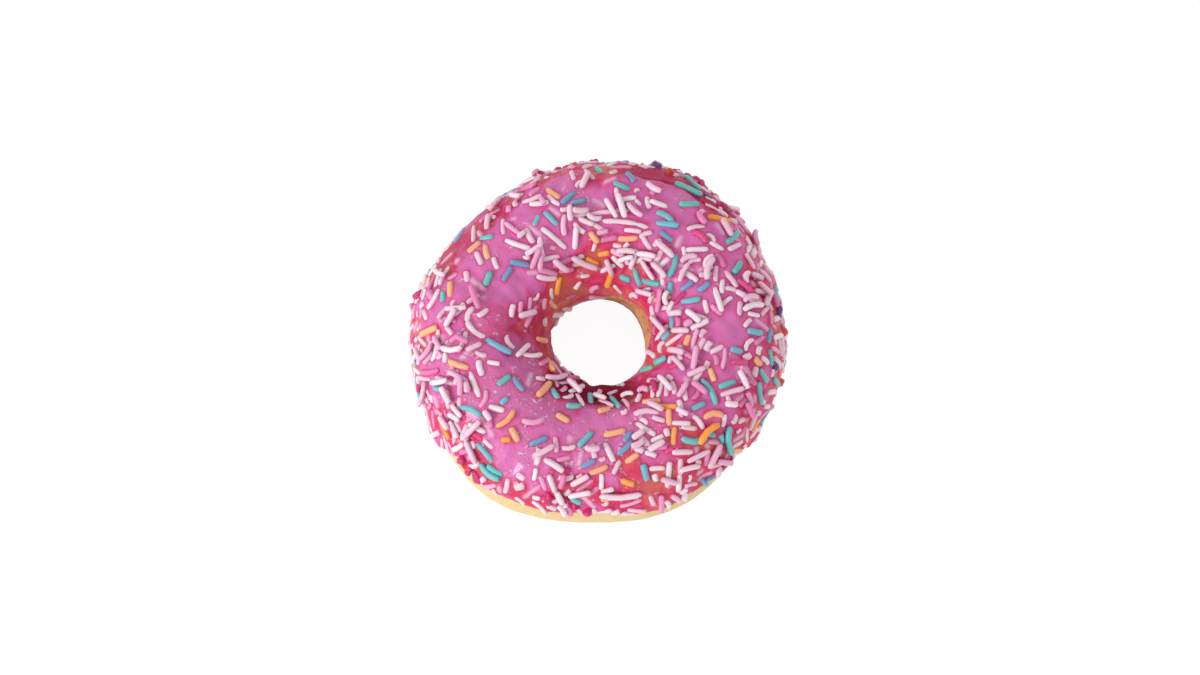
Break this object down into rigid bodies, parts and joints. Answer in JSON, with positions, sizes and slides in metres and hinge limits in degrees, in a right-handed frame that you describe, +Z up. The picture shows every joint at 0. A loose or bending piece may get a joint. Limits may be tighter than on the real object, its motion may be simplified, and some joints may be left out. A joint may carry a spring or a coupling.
{
  "type": "iced ring doughnut with sprinkles",
  "caption": "Round fried dough ring with a central hole, its top and flanks dipped in pink icing and strewn with pastel sugar sprinkles.",
  "frame": {"origin": "on the resting plane, under the middle of the doughnut's outline", "axes": "+Z up through the hole, +X to the doughnut's right and +Y to its back, seen from the front where the bare dough shows most"},
  "size_m": [0.0884, 0.0868, 0.0328],
  "materials": {
    "dough": "soft fried dough, pale at the waist and browner in the hole and underneath",
    "icing": "pink sugar icing, satin where thick and glossy where thin",
    "sprinkle_pale": "smooth pressed sugar, whitish pink",
    "sprinkle_pink": "smooth pressed sugar, pink",
    "sprinkle_teal": "smooth pressed sugar, teal blue",
    "sprinkle_orange": "smooth pressed sugar, apricot orange",
    "fruit_crumb": "rough dried fruit and sugar crumbs, deep pink"
  },
  "bodies": {
    "root": {"dough_ring": "dough", "icing_coat": "icing"}
  },
  "joints": []
}
